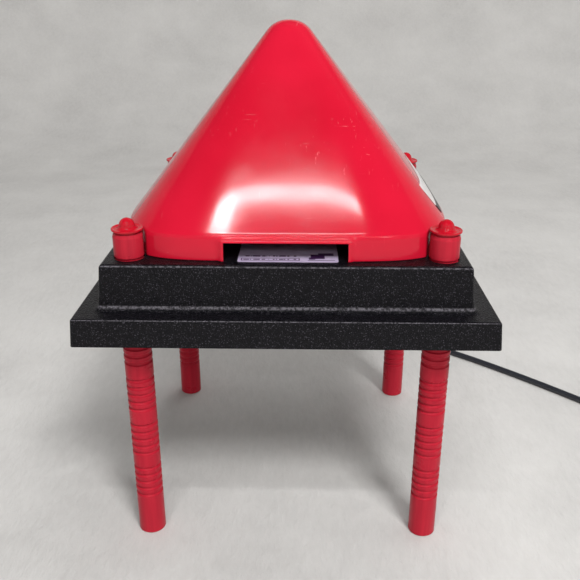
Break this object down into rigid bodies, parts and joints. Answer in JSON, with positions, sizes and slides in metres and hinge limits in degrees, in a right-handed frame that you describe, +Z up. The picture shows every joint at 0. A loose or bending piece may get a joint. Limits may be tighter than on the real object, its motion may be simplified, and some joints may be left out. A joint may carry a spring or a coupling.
{
  "type": "brooder heating plate",
  "caption": "Square heated brooding plate on height-adjustable notched legs, with a lift-off pyramid anti-roost cover and a mains cord.",
  "frame": {"origin": "on the floor under the middle of the housing, with the feet standing on it", "axes": "+Z up through the cover's apex, -Y towards the side with the label, +X to the right seen from there"},
  "size_m": [0.5703, 0.3989, 0.3938],
  "materials": {
    "red_gloss": "smooth gloss moulded plastic with fine handling scuffs",
    "red_satin": "satin moulded plastic",
    "red_cap": "gloss moulded plastic",
    "black_grained": "leather-grained moulded plastic with slightly polished edges",
    "panel_black": "fine matt moulded plastic",
    "foil_silver": "bright laminated foil",
    "pad_white": "glass-wool felt",
    "white_nylon": "natural nylon",
    "terminal_brass": "plain",
    "cutout_brown": "phenolic moulding",
    "lead_insulation": "pvc insulation",
    "screw_steel": "zinc plated",
    "spring_steel": "bright spring wire",
    "guide_grey": "acetal",
    "label_lavender": "printed paper label under film",
    "sticker_white": "printed paper sticker",
    "relief_rubber": "moulded pvc",
    "cord_black": "smooth pvc sheath",
    "tie_black": "plain",
    "plug_black": "moulded pvc",
    "blade_brass": "nickel-toned brass"
  },
  "bodies": {
    "base": {"housing": "black_grained", "heat_panel": "panel_black", "heating_foil": "foil_silver", "insulation_pad": "pad_white", "cord_grip": "white_nylon", "grip_screws": "screw_steel", "terminal_block": "white_nylon", "terminal_screws": "terminal_brass", "thermal_cutout": "cutout_brown", "inner_leads": "lead_insulation", "panel_screws": "screw_steel", "front_label": "label_lavender", "strain_relief": "relief_rubber", "cord": "cord_black", "cord_tail": "cord_black", "cord_coil": "cord_black", "cord_tie": "tie_black", "plug_body": "plug_black", "plug_blades": "blade_brass", "leg_guide_front_left": "guide_grey", "spring_ring_front_left": "spring_steel", "leg_guide_front_right": "guide_grey", "spring_ring_front_right": "spring_steel", "leg_guide_rear_left": "guide_grey", "spring_ring_rear_left": "spring_steel", "leg_guide_rear_right": "guide_grey", "spring_ring_rear_right": "spring_steel"},
    "lift_off_cover": {"cover": "red_gloss", "side_sticker": "sticker_white"},
    "leg_assembly_front_left": {"leg_front_left": "red_satin", "leg_cap_front_left": "red_cap"},
    "leg_assembly_front_right": {"leg_front_right": "red_satin", "leg_cap_front_right": "red_cap"},
    "leg_assembly_rear_left": {"leg_rear_left": "red_satin", "leg_cap_rear_left": "red_cap"},
    "leg_assembly_rear_right": {"leg_rear_right": "red_satin", "leg_cap_rear_right": "red_cap"}
  },
  "joints": [
    {"name": "cover_lift", "type": "slide", "parent": "base", "child": "lift_off_cover", "axis": [0, 0, 1], "range_m": [0, 0.15]},
    {"name": "leg_slide_front_left", "type": "slide", "parent": "base", "child": "leg_assembly_front_left", "axis": [0, 0, 1], "range_m": [-0.0189, 0.1647]},
    {"name": "leg_slide_front_right", "type": "slide", "parent": "base", "child": "leg_assembly_front_right", "axis": [0, 0, 1], "range_m": [-0.0189, 0.1647]},
    {"name": "leg_slide_rear_left", "type": "slide", "parent": "base", "child": "leg_assembly_rear_left", "axis": [0, 0, 1], "range_m": [-0.0189, 0.1647]},
    {"name": "leg_slide_rear_right", "type": "slide", "parent": "base", "child": "leg_assembly_rear_right", "axis": [0, 0, 1], "range_m": [-0.0189, 0.1647]}
  ]
}
